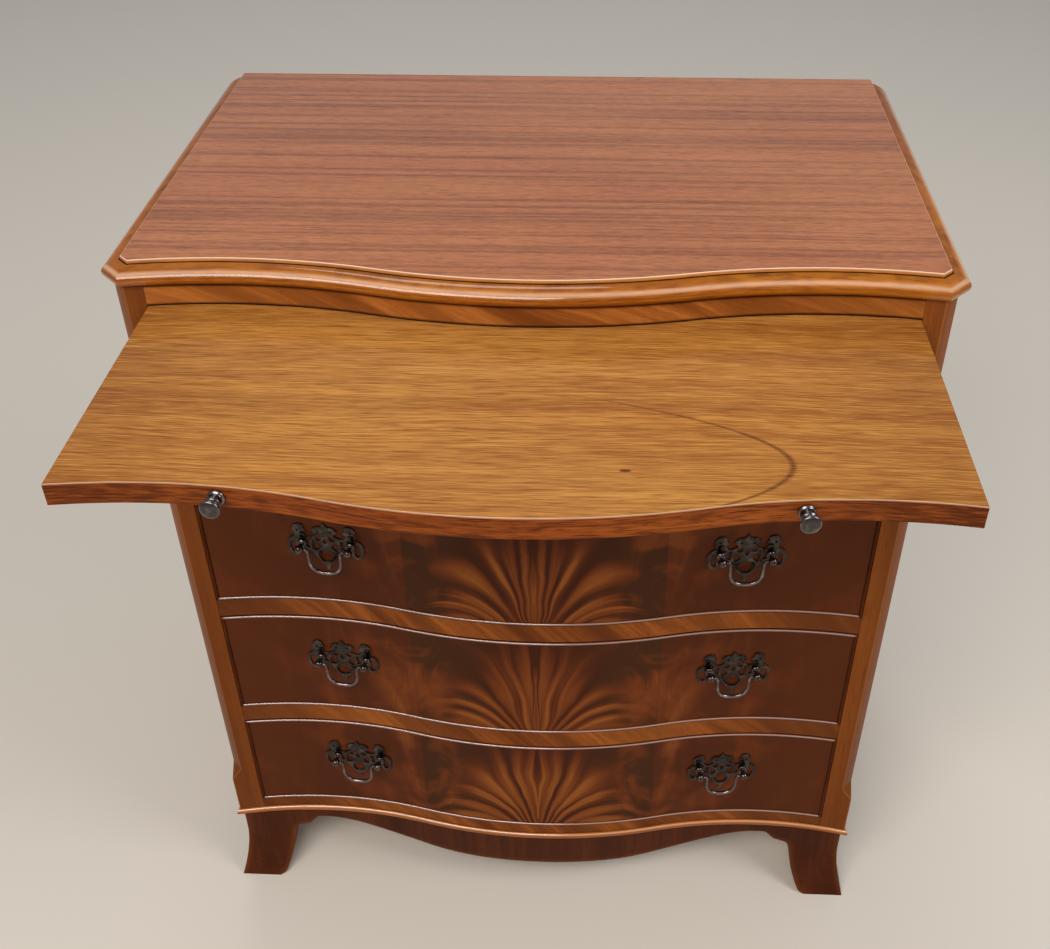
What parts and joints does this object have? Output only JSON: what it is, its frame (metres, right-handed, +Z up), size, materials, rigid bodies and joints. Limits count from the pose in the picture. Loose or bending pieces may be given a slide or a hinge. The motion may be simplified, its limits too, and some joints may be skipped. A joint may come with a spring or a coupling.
{
  "type": "serpentine chest of drawers",
  "caption": "Serpentine-front chest of long drawers with a pull-out brushing slide, canted corners, splayed bracket feet and pierced swan-neck handles.",
  "frame": {"origin": "on the floor, under the middle of the chest's box with the brushing slide pulled out", "axes": "+X along the front to the right as seen from the front, +Y to the back, +Z up"},
  "size_m": [0.7456, 0.7478, 0.8358],
  "materials": {
    "mahogany": "wax polish",
    "striped_mahogany": "wax polish",
    "flame_mahogany": "wax polish",
    "dark_mahogany": "wax polish",
    "golden_mahogany": "wax polish",
    "secondary_wood": "planed",
    "antique_brass": "dark patina"
  },
  "bodies": {
    "carcass": {"top_board": "striped_mahogany", "side_left": "mahogany", "side_right": "mahogany", "stile_left": "mahogany", "stile_right": "mahogany", "frieze_rail": "mahogany", "slide_rail": "mahogany", "drawer_rail_1": "mahogany", "drawer_rail_2": "mahogany", "drawer_rail_3": "mahogany", "bottom_rail": "mahogany", "bottom_board": "secondary_wood", "back_panel": "secondary_wood", "base_moulding": "mahogany", "front_bracket_base": "dark_mahogany", "side_bracket_left": "dark_mahogany", "side_bracket_right": "dark_mahogany"},
    "slide": {"slide_board": "golden_mahogany", "slide_knob_left": "antique_brass", "slide_knob_right": "antique_brass"},
    "drawer_1": {"drawer_1_front": "flame_mahogany", "drawer_1_cockbead": "mahogany", "drawer_1_side_left": "secondary_wood", "drawer_1_side_right": "secondary_wood", "drawer_1_back": "secondary_wood", "drawer_1_bottom": "secondary_wood", "drawer_1_backplate_left": "antique_brass", "drawer_1_backplate_right": "antique_brass"},
    "drawer_2": {"drawer_2_front": "flame_mahogany", "drawer_2_cockbead": "mahogany", "drawer_2_side_left": "secondary_wood", "drawer_2_side_right": "secondary_wood", "drawer_2_back": "secondary_wood", "drawer_2_bottom": "secondary_wood", "drawer_2_backplate_left": "antique_brass", "drawer_2_backplate_right": "antique_brass"},
    "drawer_3": {"drawer_3_front": "flame_mahogany", "drawer_3_cockbead": "mahogany", "drawer_3_side_left": "secondary_wood", "drawer_3_side_right": "secondary_wood", "drawer_3_back": "secondary_wood", "drawer_3_bottom": "secondary_wood", "drawer_3_backplate_left": "antique_brass", "drawer_3_backplate_right": "antique_brass"},
    "drawer_4": {"drawer_4_front": "flame_mahogany", "drawer_4_cockbead": "mahogany", "drawer_4_side_left": "secondary_wood", "drawer_4_side_right": "secondary_wood", "drawer_4_back": "secondary_wood", "drawer_4_bottom": "secondary_wood", "drawer_4_backplate_left": "antique_brass", "drawer_4_backplate_right": "antique_brass"},
    "bail_1_left": {"drawer_1_bail_left": "antique_brass"},
    "bail_1_right": {"drawer_1_bail_right": "antique_brass"},
    "bail_2_left": {"drawer_2_bail_left": "antique_brass"},
    "bail_2_right": {"drawer_2_bail_right": "antique_brass"},
    "bail_3_left": {"drawer_3_bail_left": "antique_brass"},
    "bail_3_right": {"drawer_3_bail_right": "antique_brass"},
    "bail_4_left": {"drawer_4_bail_left": "antique_brass"},
    "bail_4_right": {"drawer_4_bail_right": "antique_brass"}
  },
  "joints": [
    {"name": "slide_home", "type": "slide", "parent": "carcass", "child": "slide", "axis": [0, 1, 0], "range_m": [0, 0.256]},
    {"name": "drawer_1_open", "type": "slide", "parent": "carcass", "child": "drawer_1", "axis": [0, -1, 0], "range_m": [0, 0.3]},
    {"name": "drawer_2_open", "type": "slide", "parent": "carcass", "child": "drawer_2", "axis": [0, -1, 0], "range_m": [0, 0.3]},
    {"name": "drawer_3_open", "type": "slide", "parent": "carcass", "child": "drawer_3", "axis": [0, -1, 0], "range_m": [0, 0.3]},
    {"name": "drawer_4_open", "type": "slide", "parent": "carcass", "child": "drawer_4", "axis": [0, -1, 0], "range_m": [0, 0.3]},
    {"name": "bail_1_left_swing", "type": "hinge", "parent": "drawer_1", "child": "bail_1_left", "pos_m": [-0.21067, -0.10213, 0.689], "axis": [-0.9956, 0.0934, 0], "range_deg": [-10, 95]},
    {"name": "bail_1_right_swing", "type": "hinge", "parent": "drawer_1", "child": "bail_1_right", "pos_m": [0.21067, -0.10213, 0.689], "axis": [-0.9956, -0.0934, 0], "range_deg": [-10, 95]},
    {"name": "bail_2_left_swing", "type": "hinge", "parent": "drawer_2", "child": "bail_2_left", "pos_m": [-0.21067, -0.10213, 0.5265], "axis": [-0.9956, 0.0934, 0], "range_deg": [-10, 95]},
    {"name": "bail_2_right_swing", "type": "hinge", "parent": "drawer_2", "child": "bail_2_right", "pos_m": [0.21067, -0.10213, 0.5265], "axis": [-0.9956, -0.0934, 0], "range_deg": [-10, 95]},
    {"name": "bail_3_left_swing", "type": "hinge", "parent": "drawer_3", "child": "bail_3_left", "pos_m": [-0.21067, -0.10213, 0.364], "axis": [-0.9956, 0.0934, 0], "range_deg": [-10, 95]},
    {"name": "bail_3_right_swing", "type": "hinge", "parent": "drawer_3", "child": "bail_3_right", "pos_m": [0.21067, -0.10213, 0.364], "axis": [-0.9956, -0.0934, 0], "range_deg": [-10, 95]},
    {"name": "bail_4_left_swing", "type": "hinge", "parent": "drawer_4", "child": "bail_4_left", "pos_m": [-0.21067, -0.10213, 0.2015], "axis": [-0.9956, 0.0934, 0], "range_deg": [-10, 95]},
    {"name": "bail_4_right_swing", "type": "hinge", "parent": "drawer_4", "child": "bail_4_right", "pos_m": [0.21067, -0.10213, 0.2015], "axis": [-0.9956, -0.0934, 0], "range_deg": [-10, 95]}
  ]
}
